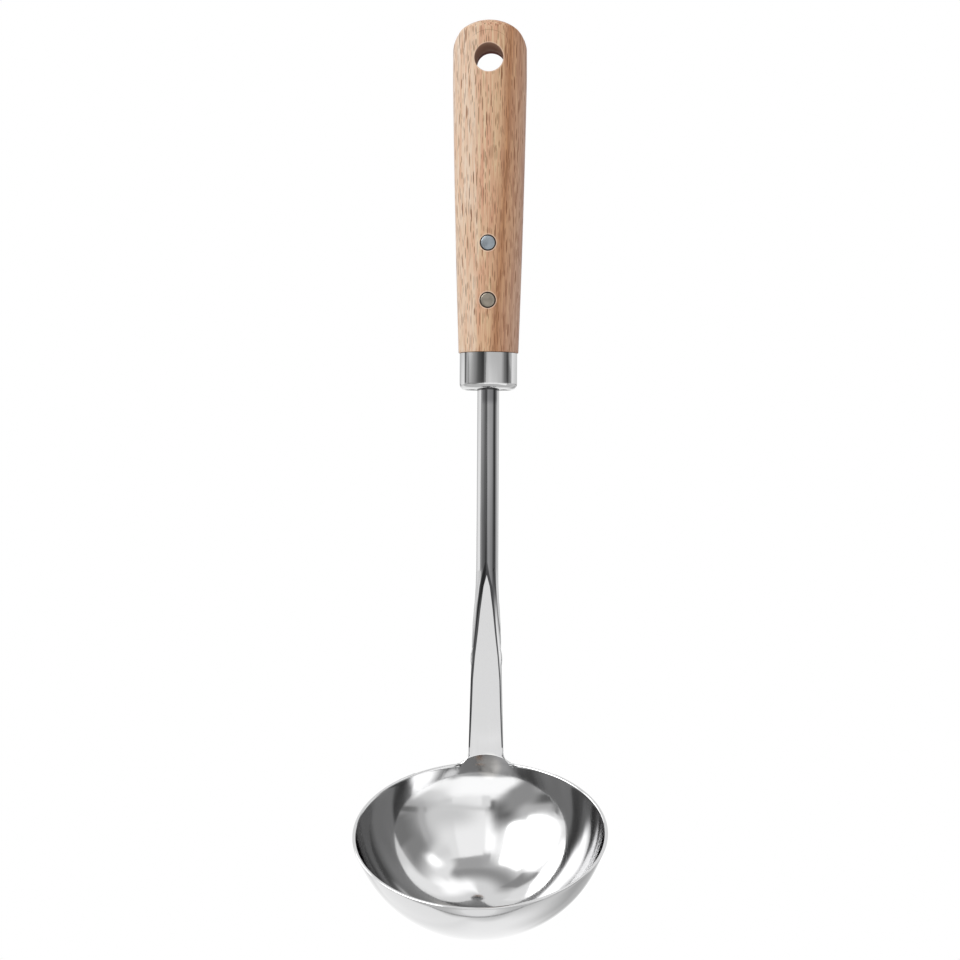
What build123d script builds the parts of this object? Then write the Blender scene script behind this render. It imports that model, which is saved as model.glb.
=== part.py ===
from build123d import *
from math import cos, radians, sin, sqrt
import os

# Soup ladle, millimetres. The origin is the middle of the hanging hole, +Z runs up along the handle,
# and the bowl reaches forward, towards -Y. X = 0 is the plane of symmetry.

# Shared sizes
sheet = 1.2  # stainless sheet that the bowl, strap and shaft are pressed from
overrun = 2.0  # how far a cutting tool runs past the material

# Wooden handle
handle_width = 27.5  # widest, at the hanging hole
handle_thickness = 20.0
handle_widest_below_hole = 8.0
handle_waist_width = 25.3  # halfway down the taper
handle_waist_thickness = 18.6
handle_neck_width = 22.2  # at the shoulder that meets the ferrule
handle_neck_thickness = 16.8
handle_top_above_hole = 14.7
dome_height = 11.2
dome_edge_radius = 4.6
dome_skim = 0.05  # the rounding cutter stands this far off the blank's sides
shoulder_below_hole = 108.6
hang_hole_diameter = 10.6

# Shaft, strap and tang, which are one with the bowl
shaft_width = 8.1
shaft_corner_share = 0.98  # of half the width, so that the half-round keeps a trace of flat
tang_above_shoulder = 50.0
tang_clearance = 0.1
tang_bore_spare = 2.0

# Places down the shaft, below the hanging hole
facet_start_below_hole = 188.0
facet_middle_below_hole = 200.0
strap_start_below_hole = 218.0
strap_end_below_hole = 248.0

facet_middle_width = 8.9
facet_middle_depth = 3.2
facet_middle_corner = 2.05
strap_start_width = 10.9
strap_end_width = 12.4
strap_corner = 0.5
strap_fillet = 4.2

# Bowl: a spherical cap
rim_diameter = 90.0
bowl_depth = 36.1  # outside, from the rim's plane
rim_tilt = 28.7  # degrees that the rim's axis leans forward from the handle's line
rim_back_below_hole = 259.0
crease_above_rim = 2.4  # where the flat strap turns into the bowl's wall

# Ferrule
ferrule_step = 0.45  # the wood stands proud of the ferrule by this much all round
ferrule_height = 13.6
ferrule_wall = 0.8
ferrule_bottom_radius = 2.2
ferrule_lip_edge = 0.2
ferrule_slot_clearance = 0.15
tenon_clearance = 0.1
tenon_end_gap = 0.3

# Rivets
rivet_diameter = 5.3
rivet_clearance = 0.05
rivet_ring_width = 0.3  # dark gap round the rivet's end
rivet_ring_depth = 0.6
upper_rivet_above_shoulder = 40.0
lower_rivet_above_shoulder = 18.9
rivet_dish_depth = 0.25
rivet_dish_diameter = 4.4

shoulder_z = -shoulder_below_hole
ferrule_bottom_z = shoulder_z - ferrule_height
half_width = handle_width / 2
half_thickness = handle_thickness / 2
shaft_radius = shaft_width / 2
bowl_radius = (rim_diameter**2 / 4 + bowl_depth**2) / (2 * bowl_depth)


def oval(width, thickness, z):
    """Oval face across the handle's line at height z."""
    return Pos(0, 0, z) * Ellipse(width / 2, thickness / 2)


def across(diameter, z, length):
    """Cylinder along Y through the handle's line at height z."""
    return Pos(0, 0, z) * Rot(90, 0, 0) * Cylinder(diameter / 2, length)


# Wooden handle
def handle_blank():
    """Outer form of the handle down to the shoulder, before any hole is made."""
    widest_z = -handle_widest_below_hole
    waist_z = (widest_z + shoulder_z) / 2
    head_height = handle_top_above_hole + handle_widest_below_hole
    head = extrude(oval(handle_width, handle_thickness, widest_z), head_height)
    taper = loft(
        [
            oval(handle_neck_width, handle_neck_thickness, shoulder_z),
            oval(handle_waist_width, handle_waist_thickness, waist_z),
            oval(handle_width, handle_thickness, widest_z),
        ]
    )
    return (head + taper) & dome_former()


def dome_former():
    """Rounded outline that the top of the handle is cut to."""
    springing_z = handle_top_above_hole - dome_height
    disc = Rot(90, 0, 0) * extrude(
        Ellipse(half_width + dome_skim, dome_height), half_thickness + dome_skim, both=True
    )
    disc = Pos(0, 0, springing_z) * fillet(disc.edges(), dome_edge_radius)
    reach = springing_z - shoulder_z + overrun
    body = Pos(0, 0, springing_z) * Box(
        handle_width + overrun,
        handle_thickness + overrun,
        reach,
        align=(Align.CENTER, Align.CENTER, Align.MAX),
    )
    return disc + body


def ferrule_inner(inset, bottom_z, top_z, corner):
    """Oval plug that stands inside the ferrule's wall by the inset."""
    width = handle_neck_width - 2 * (ferrule_step + ferrule_wall + inset)
    thickness = handle_neck_thickness - 2 * (ferrule_step + ferrule_wall + inset)
    plug = extrude(oval(width, thickness, bottom_z), top_z - bottom_z)
    return fillet(plug.edges().group_by(Axis.Z)[0], corner)


def make_handle(blank):
    cavity_floor_z = ferrule_bottom_z + ferrule_wall
    tenon = ferrule_inner(
        tenon_clearance,
        cavity_floor_z + tenon_end_gap,
        shoulder_z,
        ferrule_bottom_radius - ferrule_wall,
    )
    wood = blank + tenon
    through = handle_thickness + overrun
    wood -= across(hang_hole_diameter, 0, through)
    bore_radius = shaft_radius + tang_clearance
    bore_top_z = shoulder_z + tang_above_shoulder + tang_bore_spare
    wood -= Pos(0, 0, bore_top_z) * Cylinder(
        bore_radius,
        bore_top_z - ferrule_bottom_z,
        align=(Align.CENTER, Align.CENTER, Align.MAX),
    )
    for rise in (upper_rivet_above_shoulder, lower_rivet_above_shoulder):
        z = shoulder_z + rise
        wood -= across(rivet_diameter + 2 * rivet_clearance, z, through)
        ring = across(rivet_diameter + 2 * rivet_ring_width, z, through)
        core = Box(handle_width, 2 * (rivet_seat_y(z) - rivet_ring_depth), handle_width)
        wood -= ring - Pos(0, 0, z) * core
    return wood


def rivet_seat_y(z):
    """Half the handle's thickness at height z, on the straight line from waist to neck."""
    waist_z = (shoulder_z - handle_widest_below_hole) / 2
    share = (z - shoulder_z) / (waist_z - shoulder_z)
    return (handle_neck_thickness + share * (handle_waist_thickness - handle_neck_thickness)) / 2


# Ferrule
def make_ferrule():
    width = handle_neck_width - 2 * ferrule_step
    thickness = handle_neck_thickness - 2 * ferrule_step
    cup = extrude(oval(width, thickness, ferrule_bottom_z), ferrule_height)
    cup = fillet(cup.edges().group_by(Axis.Z)[0], ferrule_bottom_radius)
    cup -= ferrule_inner(
        0,
        ferrule_bottom_z + ferrule_wall,
        shoulder_z + overrun,
        ferrule_bottom_radius - ferrule_wall,
    )
    cup = chamfer(cup.edges().group_by(Axis.Z)[-1], ferrule_lip_edge)
    slot = shaft_section(
        shaft_width + 2 * ferrule_slot_clearance,
        shaft_radius + 2 * ferrule_slot_clearance,
        shaft_corner(shaft_width + 2 * ferrule_slot_clearance),
        -shaft_radius - ferrule_slot_clearance,
        ferrule_bottom_z - overrun,
    )
    return cup - extrude(slot, 2 * overrun + ferrule_wall)


# Rivets
def make_rivet(blank, rise, dished):
    z = shoulder_z + rise
    pin = across(rivet_diameter, z, handle_thickness + overrun) & blank
    if dished:
        ball_radius = (rivet_dish_diameter**2 / 4 + rivet_dish_depth**2) / (2 * rivet_dish_depth)
        reach = rivet_seat_y(z) - rivet_dish_depth + ball_radius
        for side in (-1, 1):
            pin -= Pos(0, side * reach, z) * Sphere(ball_radius)
    return pin


# Ladle head
def shaft_corner(width):
    return width / 2 * shaft_corner_share


def shaft_section(width, depth, corner, front_y, z):
    """Bar section at height z: flat back, and a front whose two corners are rounded."""
    face = Rectangle(width, depth, align=(Align.CENTER, Align.MIN))
    front = face.vertices().group_by(Axis.Y)[0]
    return Pos(0, front_y, z) * fillet(front, corner)


def bar_and_groove():
    """Outer bar from tang to strap, less the groove that makes the shaft half a tube."""
    front_y = -shaft_radius
    groove_y = front_y + sheet
    groove_width = shaft_width - 2 * sheet
    tang_top_z = shoulder_z + tang_above_shoulder
    straight = tang_top_z + facet_start_below_hole
    corner = shaft_corner(shaft_width)
    groove_corner = shaft_corner(groove_width)
    bar = extrude(
        shaft_section(shaft_width, shaft_radius, corner, front_y, -facet_start_below_hole),
        straight,
    )
    bar += loft(
        [
            shaft_section(strap_start_width, sheet, strap_corner, front_y, -strap_start_below_hole),
            shaft_section(
                facet_middle_width,
                facet_middle_depth,
                facet_middle_corner,
                front_y,
                -facet_middle_below_hole,
            ),
            shaft_section(shaft_width, shaft_radius, corner, front_y, -facet_start_below_hole),
        ]
    )
    groove_depth = shaft_radius - sheet + overrun
    groove = extrude(
        shaft_section(groove_width, groove_depth, groove_corner, groove_y, -facet_start_below_hole),
        straight + overrun,
    )
    groove += loft(
        [
            shaft_section(
                strap_start_width - 2 * sheet,
                groove_depth,
                strap_corner,
                groove_y,
                -strap_start_below_hole,
            ),
            shaft_section(
                facet_middle_width - 2 * sheet,
                groove_depth,
                facet_middle_corner - sheet,
                groove_y,
                -facet_middle_below_hole,
            ),
            shaft_section(groove_width, groove_depth, groove_corner, groove_y, -facet_start_below_hole),
        ]
    )
    bar -= groove
    for rise in (upper_rivet_above_shoulder, lower_rivet_above_shoulder):
        bar -= across(rivet_diameter + 2 * rivet_clearance, shoulder_z + rise, handle_thickness)
    return bar


def strap_width_at(below_hole):
    """Width of the flat strap, which widens steadily down to the rim."""
    length = strap_end_below_hole - strap_start_below_hole
    share = (below_hole - strap_start_below_hole) / length
    return strap_start_width + share * (strap_end_width - strap_start_width)


def bowl_frame():
    """Plane at the sphere's centre, with its normal along the rim's axis, and the rim's drop below it."""
    lean = radians(rim_tilt)
    drop = bowl_radius - bowl_depth
    centre_z = -rim_back_below_hole + drop * cos(lean) - rim_diameter / 2 * sin(lean)
    inner = bowl_radius - sheet
    rise = crease_above_rim - rim_back_below_hole - centre_z
    centre_y = -shaft_radius - sqrt(inner**2 - rise**2)
    return Plane((0, centre_y, centre_z), x_dir=(1, 0, 0), z_dir=(0, -sin(lean), cos(lean))), drop


def strap_plate(foot_below_hole):
    """Flat strap from the end of the shaft down to the foot, its two front edges rounded."""
    foot = strap_width_at(foot_below_hole)
    outline = Polyline(
        (-foot / 2, -foot_below_hole),
        (foot / 2, -foot_below_hole),
        (strap_start_width / 2, -strap_start_below_hole),
        (-strap_start_width / 2, -strap_start_below_hole),
        close=True,
    )
    plate = Pos(0, -shaft_radius + sheet, 0) * extrude(Plane.XZ * make_face(outline), sheet)
    front = plate.faces().sort_by(Axis.Y)[0].edges()
    sides = front.filter_by(lambda edge: abs(edge.tangent_at(0).Z) > abs(edge.tangent_at(0).X))
    return fillet(sides, strap_corner)


def flare_former(frame, drop):
    """Prism square to the rim's plane that holds the strap's foot and its two fillets."""
    top_below_hole = rim_back_below_hole - strap_fillet - sheet
    top = frame.to_local_coords(Vector(0, -shaft_radius, -top_below_hole)).Z
    rim_width = strap_width_at(rim_back_below_hole)
    reach = rim_width / 2 + 2 * strap_fillet
    outline = Polyline(
        (-strap_width_at(top_below_hole) / 2, top),
        (-rim_width / 2, -drop),
        (-reach, -drop),
        (-reach, -drop - strap_fillet),
        (reach, -drop - strap_fillet),
        (reach, -drop),
        (rim_width / 2, -drop),
        (strap_width_at(top_below_hole) / 2, top),
        close=True,
    )
    face = make_face(outline)
    on_rim = face.vertices().filter_by(lambda v: abs(v.Y + drop) < sheet)
    face = fillet(on_rim.filter_by(lambda v: abs(v.X) < reach - sheet), strap_fillet)
    wall = rim_diameter / 2
    prism = Pos(0, wall, 0) * extrude(Plane.XZ * face, strap_fillet * 2, both=True)
    return frame.location * prism


def make_head():
    frame, drop = bowl_frame()
    reach = 2 * bowl_radius
    solid_ball = frame.location * Sphere(bowl_radius)
    inner_ball = frame.location * Sphere(bowl_radius - sheet)
    shell = solid_ball - inner_ball
    below_rim = Pos(0, 0, -drop) * Box(
        reach, reach, reach, align=(Align.CENTER, Align.CENTER, Align.MAX)
    )
    bowl = shell & (frame.location * below_rim)
    foot_below_hole = rim_back_below_hole + overrun
    plate = strap_plate(foot_below_hole) - inner_ball
    flare = flare_former(frame, drop)
    behind = Pos(0, -shaft_radius, -rim_back_below_hole) * Box(
        reach, 2 * shaft_radius, reach, align=(Align.CENTER, Align.MIN, Align.CENTER)
    )
    slab = Pos(0, -shaft_radius, -rim_back_below_hole) * Box(
        reach, sheet, reach, align=(Align.CENTER, Align.MIN, Align.CENTER)
    )
    web = (flare & slab) - inner_ball - (frame.location * below_rim)
    return bar_and_groove() + plate + web + (flare & behind & shell) + bowl


blank = handle_blank()
parts = {
    "ladle_head": make_head(),
    "wooden_handle": make_handle(blank),
    "ferrule": make_ferrule(),
    "upper_rivet": make_rivet(blank, upper_rivet_above_shoulder, False),
    "lower_rivet": make_rivet(blank, lower_rivet_above_shoulder, True),
}

os.makedirs("parts", exist_ok=True)
for name, solid in parts.items():
    export_step(solid, f"parts/{name}.step")
    print(name, round(solid.volume, 1), "mm3", len(solid.solids()), "solid")
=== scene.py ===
from math import asin, cos, hypot, pi, radians, sin, sqrt

import bmesh
import bpy
from mathutils import Matrix, Vector
from mathutils.kdtree import KDTree


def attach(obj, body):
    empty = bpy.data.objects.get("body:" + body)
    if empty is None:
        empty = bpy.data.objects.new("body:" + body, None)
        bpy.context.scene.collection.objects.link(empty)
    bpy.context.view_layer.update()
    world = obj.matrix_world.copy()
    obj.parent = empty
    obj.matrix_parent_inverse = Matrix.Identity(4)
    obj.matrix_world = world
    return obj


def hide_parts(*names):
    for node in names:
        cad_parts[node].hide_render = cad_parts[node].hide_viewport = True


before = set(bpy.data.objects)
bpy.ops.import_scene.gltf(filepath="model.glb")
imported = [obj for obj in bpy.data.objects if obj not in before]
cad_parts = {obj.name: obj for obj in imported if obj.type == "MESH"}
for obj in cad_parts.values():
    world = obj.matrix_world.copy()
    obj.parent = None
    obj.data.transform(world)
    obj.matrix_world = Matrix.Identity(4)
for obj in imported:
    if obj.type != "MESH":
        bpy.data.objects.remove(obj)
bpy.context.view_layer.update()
scene = bpy.context.scene
print("frame loaded:", sorted(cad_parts))

mm = 0.001  # sizes below are in millimetres, as on a drawing, and heights are from the hanging hole

# Camera, in metres and degrees; the photo is 960 x 960
camera = {
    "distance": 0.9,  # from the handle's line
    "height": -0.188,  # against the hanging hole
    "azimuth": 3.0,
    "lookUp": 2.06,
    "roll": -0.32,
    "aside": -0.0027,
    "focalPixels": 2434,
    "framePixels": 960,
    "sensor": 36,
}


def addCamera():
    data = bpy.data.cameras.new("photoCamera")
    data.sensor_width = camera["sensor"]
    data.lens = camera["sensor"] * camera["focalPixels"] / camera["framePixels"]
    shot = bpy.data.objects.new("photoCamera", data)
    scene.collection.objects.link(shot)
    turn = radians(camera["azimuth"])
    spin = Matrix.Rotation(turn, 4, "Z")
    shot.location = spin @ Vector((camera["aside"], -camera["distance"], camera["height"]))
    shot.rotation_euler = (radians(90 + camera["lookUp"]), radians(camera["roll"]), turn)
    scene.camera = shot


addCamera()
print("camera placed")


rounding = {
    "rings": 3,  # of faces over a rounded edge
    "weld": 0.0001,
    "smoothAngle": 35,
}


# Helpers for modelling with operators
def deselectAll():
    if bpy.context.mode != "OBJECT":
        bpy.ops.object.mode_set(mode="OBJECT")
    bpy.ops.object.select_all(action="DESELECT")


def selectAlone(piece):
    deselectAll()
    piece.select_set(True)
    bpy.context.view_layer.objects.active = piece


# Selects all of an open piece's mesh, or with "DESELECT" none of it
def selectMesh(action="SELECT"):
    bpy.ops.mesh.select_all(action=action)


# Selects a piece alone and starts editing its vertices
def openPiece(piece):
    selectAlone(piece)
    bpy.ops.object.mode_set(mode="EDIT")
    bpy.ops.mesh.select_mode(type="VERT")
    selectMesh("DESELECT")


def closePiece():
    bpy.ops.object.mode_set(mode="OBJECT")


def pickVerts(piece, rule):
    selectMesh("DESELECT")
    shape = bmesh.from_edit_mesh(piece.data)
    for vert in shape.verts:
        vert.select_set(rule(vert.co))
    shape.select_flush(True)
    bmesh.update_edit_mesh(piece.data)


# Puts the piece's place into its mesh, so that its object sits at the origin
def settle(piece):
    selectAlone(piece)
    bpy.ops.object.transform_apply()


def applyModifier(piece, kind, **settings):
    selectAlone(piece)
    modifier = piece.modifiers.new(kind.lower(), kind)
    for name, value in settings.items():
        setattr(modifier, name, value)
    bpy.ops.object.modifier_apply(modifier=modifier.name)


# Moves the selected row of vertices, which runs outward and back, to the points given
def placeRow(piece, points):
    shape = bmesh.from_edit_mesh(piece.data)
    shape.verts.index_update()
    row = [vert for vert in shape.verts if vert.select]
    row.sort(key=lambda vert: vert.co.x + vert.co.y)
    order = [vert.index for vert in row]
    for index, point in zip(order, points):
        shape = bmesh.from_edit_mesh(piece.data)
        shape.verts.ensure_lookup_table()
        selectMesh("DESELECT")
        shape.verts[index].select_set(True)
        shift = point - shape.verts[index].co
        bpy.ops.transform.translate(value=shift)
    shape = bmesh.from_edit_mesh(piece.data)
    shape.verts.ensure_lookup_table()
    for index in order:
        shape.verts[index].select_set(True)
    shape.select_flush(True)


# Rounds the sharp edges whose two ends satisfy the rule
def roundEdges(piece, width, angle, rule):
    bpy.ops.mesh.select_mode(type="EDGE")
    selectMesh("DESELECT")
    bpy.ops.mesh.edges_select_sharp(sharpness=radians(angle))
    shape = bmesh.from_edit_mesh(piece.data)
    for edge in shape.edges:
        if edge.select and not all(rule(vert.co / mm) for vert in edge.verts):
            edge.select_set(False)
    bmesh.update_edit_mesh(piece.data)
    bpy.ops.mesh.bevel(offset=width * mm, segments=rounding["rings"], clamp_overlap=False)


# Ladle head: bowl, strap, half-round shaft and tang, one sheet
head = {
    "sheet": 1.2,
    "rimDiameter": 90,
    "bowlDepth": 36.1,
    "rimTilt": 28.7,
    "rimBack": 259,
    "creaseAboveRim": 2.4,
    "frontFace": -4.05,  # the strap's front, in line with the shaft's crown
    "strapFillet": 4.2,
    "strapStart": (218, 5.45),  # below the hole, half width
    "strapEnd": (248, 6.2),
    "meridians": 512,
    "rings": 95,
    "columns": 14,  # over half the strap
    "flatColumns": 4,  # of them on the shaft's flat
    "flareColumns": 20,  # over half the flare, each one meridian wide at the rim
    "flareRows": 6,
    "strapRows": 4,
    "facetStep": 1.5,  # from row to row along the facet
    "plainRows": (170, 122.2, 58.6),  # below the hole; the last is the tang's end
    "flatShut": (0.01, 0.1),  # past the facet's point and above it the flat has run out
    "creaseBetween": (20, 60),  # degrees, where the crease's end is looked for
    "creaseSteps": 30,
    "cutSlack": 0.001,
    "rimSlack": 0.002,
    "shaftWeld": 0.001,
    "headWeld": 0.012,
    "mirrorWeld": 0.01,
    "tipSlack": 0.05,
    "tipInside": 0.1,
    "tipBack": 1,
    "rimEdge": 0.42,
    "edgeAngle": 40,
    "hiddenAbove": 122.3,  # the ferrule and the handle cover what is higher
    "rivetHeights": (68.6, 89.7),
    "rivetHole": 5.4,
    "drillSides": 48,
    "drillLength": 20,
}

# Shaft sections: below the hole, half flat, corner radius, sweep in degrees, side length
headSections = [
    (188, 0.1, 3.95, 90, 0.1),
    (194, 1.15, 3.02, 90, 0.35),
    (200, 2.35, 2.1, 90, 1.1),
    (206, 3.15, 1.75, 68, 0.75),
    (212, 3.85, 1.9, 38, 0.5),
    (218, 4.4, 2.6, 15, 0.38),
    (224, 5.0, 9.0, 1, 0.4),
]


def rimGeometry():
    lean = radians(head["rimTilt"])
    outer = (head["rimDiameter"] ** 2 / 4 + head["bowlDepth"] ** 2) / (2 * head["bowlDepth"])
    drop = outer - head["bowlDepth"]
    inner = outer - head["sheet"]
    centreZ = -head["rimBack"] + drop * cos(lean) - head["rimDiameter"] / 2 * sin(lean)
    rise = head["creaseAboveRim"] - head["rimBack"] - centreZ
    centreY = head["frontFace"] - sqrt(inner**2 - rise**2)
    axis = Vector((0, -sin(lean), cos(lean)))
    back = Vector((0, cos(lean), sin(lean)))
    return {
        "centre": Vector((0, centreY, centreZ)),
        "axis": axis,
        "back": back,
        "inner": inner,
        "outer": outer,
        "drop": drop,
        "rimInner": sqrt(inner**2 - drop**2),
        "creaseRadius": rise,
        "lean": lean,
    }


def rimPoint(bowl, column):
    turn = 2 * pi * column / head["meridians"]
    side = Vector((1, 0, 0)) * sin(turn) + bowl["back"] * cos(turn)
    return bowl["centre"] - bowl["axis"] * bowl["drop"] + side * bowl["rimInner"]


# Point of the flare's outline on the bowl's inner wall; turn 0 is up the strap, a right angle is the rim
def outlineOnBowl(bowl, turn):
    x = flareFoot(bowl)["half"] + head["strapFillet"] * (1 - cos(turn))
    height = head["strapFillet"] * (1 - sin(turn)) - bowl["drop"]
    reach = sqrt(bowl["inner"] ** 2 - x**2 - height**2)
    return bowl["centre"] + bowl["axis"] * height + bowl["back"] * reach + Vector((x, 0, 0))


# Where the flare stands on the rim, seen on the strap's flat face
def flareFoot(bowl):
    deep = head["frontFace"] - bowl["centre"].y
    z = bowl["centre"].z + (deep * sin(bowl["lean"]) - bowl["drop"]) / cos(bowl["lean"])
    tall = head["strapFillet"] / cos(bowl["lean"])
    return {"z": z, "tall": tall, "half": strapHalfWidth(-z - tall)}


# The outline's turn where the crease runs out on it
def creaseTurn(bowl):
    low, high = [radians(turn) for turn in head["creaseBetween"]]
    for step in range(head["creaseSteps"]):
        middle = (low + high) / 2
        if outlineOnBowl(bowl, middle).y < head["frontFace"]:
            low = middle
        else:
            high = middle
    return low


# Top of the bowl's wall behind the rim: the crease under the strap, then the flare down to the rim
def wallTop(bowl):
    centre = bowl["centre"]
    last = creaseTurn(bowl)
    reach = asin(outlineOnBowl(bowl, last).x / bowl["creaseRadius"])
    points = []
    for column in range(head["columns"] + 1):
        turn = reach * column / head["columns"]
        x = bowl["creaseRadius"] * sin(turn)
        z = centre.z + bowl["creaseRadius"] * cos(turn)
        points.append(onFront(x, z))
    rest = head["flareColumns"] - head["columns"]
    for column in range(1, rest):
        turn = last + (pi / 2 - last) * column / rest
        points.append(outlineOnBowl(bowl, turn) * mm)
    points.append(rimPoint(bowl, head["flareColumns"]) * mm)
    return points


# A point of the strap's front face
def onFront(x, z):
    return Vector((x, head["frontFace"], z)) * mm


def strapHalfWidth(below):
    (startZ, startHalf), (endZ, endHalf) = head["strapStart"], head["strapEnd"]
    return startHalf + (below - startZ) / (endZ - startZ) * (endHalf - startHalf)


# One row of the flare's flat part, from the arched crease at step 0 to a straight row at the last step
def flareRow(bowl, step):
    share = step / head["flareRows"]
    turn = creaseTurn(bowl) * (1 - share)
    foot = flareFoot(bowl)
    endX = foot["half"] + head["strapFillet"] * (1 - cos(turn))
    endZ = foot["z"] + foot["tall"] * (1 - sin(turn))
    apex = bowl["centre"].z + bowl["creaseRadius"]
    middleZ = apex + (foot["z"] + foot["tall"] - apex) * share
    row = []
    for column in range(head["columns"] + 1):
        across = column / head["columns"]
        z = middleZ + (endZ - middleZ) * across**2
        row.append(onFront(endX * across, z))
    return row


# Half flat, corner radius, sweep and side of the shaft's section between its stations
def sectionAt(below):
    if below <= headSections[0][0]:
        return headSections[0][1:]
    for low, high in zip(headSections, headSections[1:]):
        if below <= high[0]:
            share = (below - low[0]) / (high[0] - low[0])
            return [a + (b - a) * share for a, b in zip(low[1:], high[1:])]
    return headSections[-1][1:]


def sectionRow(below):
    flat, radius, sweep, side = sectionAt(below)
    flatColumns = head["flatColumns"]
    arcColumns = head["columns"] - flatColumns - 1
    sweep = radians(sweep)
    row = [onFront(flat * step / flatColumns, -below) for step in range(flatColumns + 1)]
    for step in range(1, arcColumns + 1):
        turn = sweep * step / arcColumns
        x = flat + radius * sin(turn)
        y = head["frontFace"] + radius * (1 - cos(turn))
        row.append(Vector((x, y, -below)) * mm)
    last = row[-1] / mm
    row.append((last + Vector((cos(sweep), sin(sweep), 0)) * side) * mm)
    return row


# A straight row across the strap; its columns drift from the rim's spacing to the shaft's
def strapRow(below, share):
    half = strapHalfWidth(below)
    shaped = sectionRow(headSections[-1][0])
    row = []
    for column in range(head["columns"] + 1):
        even = column / head["columns"]
        drawn = shaped[column].x / shaped[-1].x
        x = half * (even + (drawn - even) * share)
        row.append(onFront(x, -below))
    return row


def makeBowl(bowl):
    bpy.ops.mesh.primitive_uv_sphere_add(
        segments=head["meridians"],
        ring_count=head["rings"],
        radius=bowl["inner"] * mm,
        location=bowl["centre"] * mm,
        rotation=(bowl["lean"], 0, 0),
    )
    piece = bpy.context.object
    settle(piece)
    openPiece(piece)
    selectMesh()
    axis, slack = bowl["axis"], head["cutSlack"] * mm
    rimCentre = (bowl["centre"] - axis * bowl["drop"]) * mm
    bpy.ops.mesh.bisect(plane_co=rimCentre, plane_no=axis, clear_outer=True, threshold=slack)
    selectMesh()
    bpy.ops.mesh.bisect(plane_co=rimCentre, plane_no=(1, 0, 0), clear_inner=True, threshold=slack)
    selectMesh()
    bpy.ops.mesh.flip_normals()
    # the back of the rim grows up to the crease
    reach = rimPoint(bowl, head["flareColumns"] + 0.5).x * mm
    level = rimCentre.dot(axis)

    def onBackRim(co):
        offLevel = abs(co.dot(axis) - level)
        return co.x < reach and co.y > rimCentre.y and offLevel < head["rimSlack"] * mm

    pickVerts(piece, onBackRim)
    bpy.ops.mesh.extrude_edges_move()
    placeRow(piece, wallTop(bowl))
    closePiece()
    return piece


def makeShaft(bowl):
    bpy.ops.mesh.primitive_grid_add(x_subdivisions=head["columns"], y_subdivisions=1, size=10 * mm)
    piece = bpy.context.object
    openPiece(piece)
    pickVerts(piece, lambda co: co.y < 0)
    placeRow(piece, wallTop(bowl)[: head["columns"] + 1])
    pickVerts(piece, lambda co: co.y > 0)
    placeRow(piece, flareRow(bowl, 1))
    rows = [flareRow(bowl, step) for step in range(2, head["flareRows"] + 1)]
    top = -rows[-1][0].z / mm
    landing = headSections[-1][0]
    for step in range(1, head["strapRows"] + 1):
        share = step / head["strapRows"]
        rows.append(strapRow(top + (landing - top) * share, share))
    below = landing
    while below > headSections[0][0]:
        below -= head["facetStep"]
        rows.append(sectionRow(below))
    for below in head["plainRows"]:
        rows.append(sectionRow(below))
    for row in rows:
        bpy.ops.mesh.extrude_edges_move()
        placeRow(piece, row)
    # above the facet the flat has run out, so its columns close on the crown
    flat = headSections[0][1] + head["flatShut"][0]
    crown = headSections[0][0] + head["flatShut"][1]
    pickVerts(piece, lambda co: co.x < flat * mm and co.z > -crown * mm)
    bpy.ops.transform.resize(value=(0, 1, 1), center_override=(0, 0, 0))
    bpy.ops.mesh.remove_doubles(threshold=head["shaftWeld"] * mm)
    closePiece()
    return piece


def makeHead():
    bowl = rimGeometry()
    cup = makeBowl(bowl)
    shaft = makeShaft(bowl)
    selectAlone(cup)
    shaft.select_set(True)
    bpy.ops.object.join()
    piece = bpy.context.object
    piece.name = "pressedHead"
    openPiece(piece)
    selectMesh()
    bpy.ops.mesh.remove_doubles(threshold=head["headWeld"] * mm)
    bpy.ops.mesh.normals_make_consistent()
    closePiece()
    bottom = min(piece.data.polygons, key=lambda face: face.center.z)
    if bottom.normal.z < 0:
        openPiece(piece)
        selectMesh()
        bpy.ops.mesh.flip_normals()
        closePiece()
    applyModifier(piece, "MIRROR", use_clip=True, merge_threshold=head["mirrorWeld"] * mm)
    applyModifier(
        piece,
        "SOLIDIFY",
        thickness=head["sheet"] * mm,
        offset=-1,
        use_even_offset=True,
        use_quality_normals=True,
    )
    # the sheet's edge round the rim is ground level with the rim's plane
    centre, axis = bowl["centre"], bowl["axis"]
    tip = centre.dot(axis) - bowl["drop"] * bowl["outer"] / bowl["inner"]
    level = centre.dot(axis) - bowl["drop"]
    front = centre.y + bowl["rimInner"] * cos(bowl["lean"]) - head["tipBack"]
    outside = bowl["outer"] - head["tipInside"]

    def onTip(co):
        offTip = abs(co.dot(axis) - tip * mm)
        away = (co - centre * mm).length
        return co.y < front * mm and offTip < head["tipSlack"] * mm and away > outside * mm

    openPiece(piece)
    pickVerts(piece, onTip)
    bpy.ops.transform.translate(value=axis * (level - tip) * mm)
    closePiece()
    drillTang(piece)
    openPiece(piece)
    roundEdges(piece, head["rimEdge"], head["edgeAngle"], lambda co: co.z <= -head["hiddenAbove"])
    closePiece()
    bpy.ops.object.shade_smooth()
    applyModifier(piece, "WEIGHTED_NORMAL", keep_sharp=False)
    return piece


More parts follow.
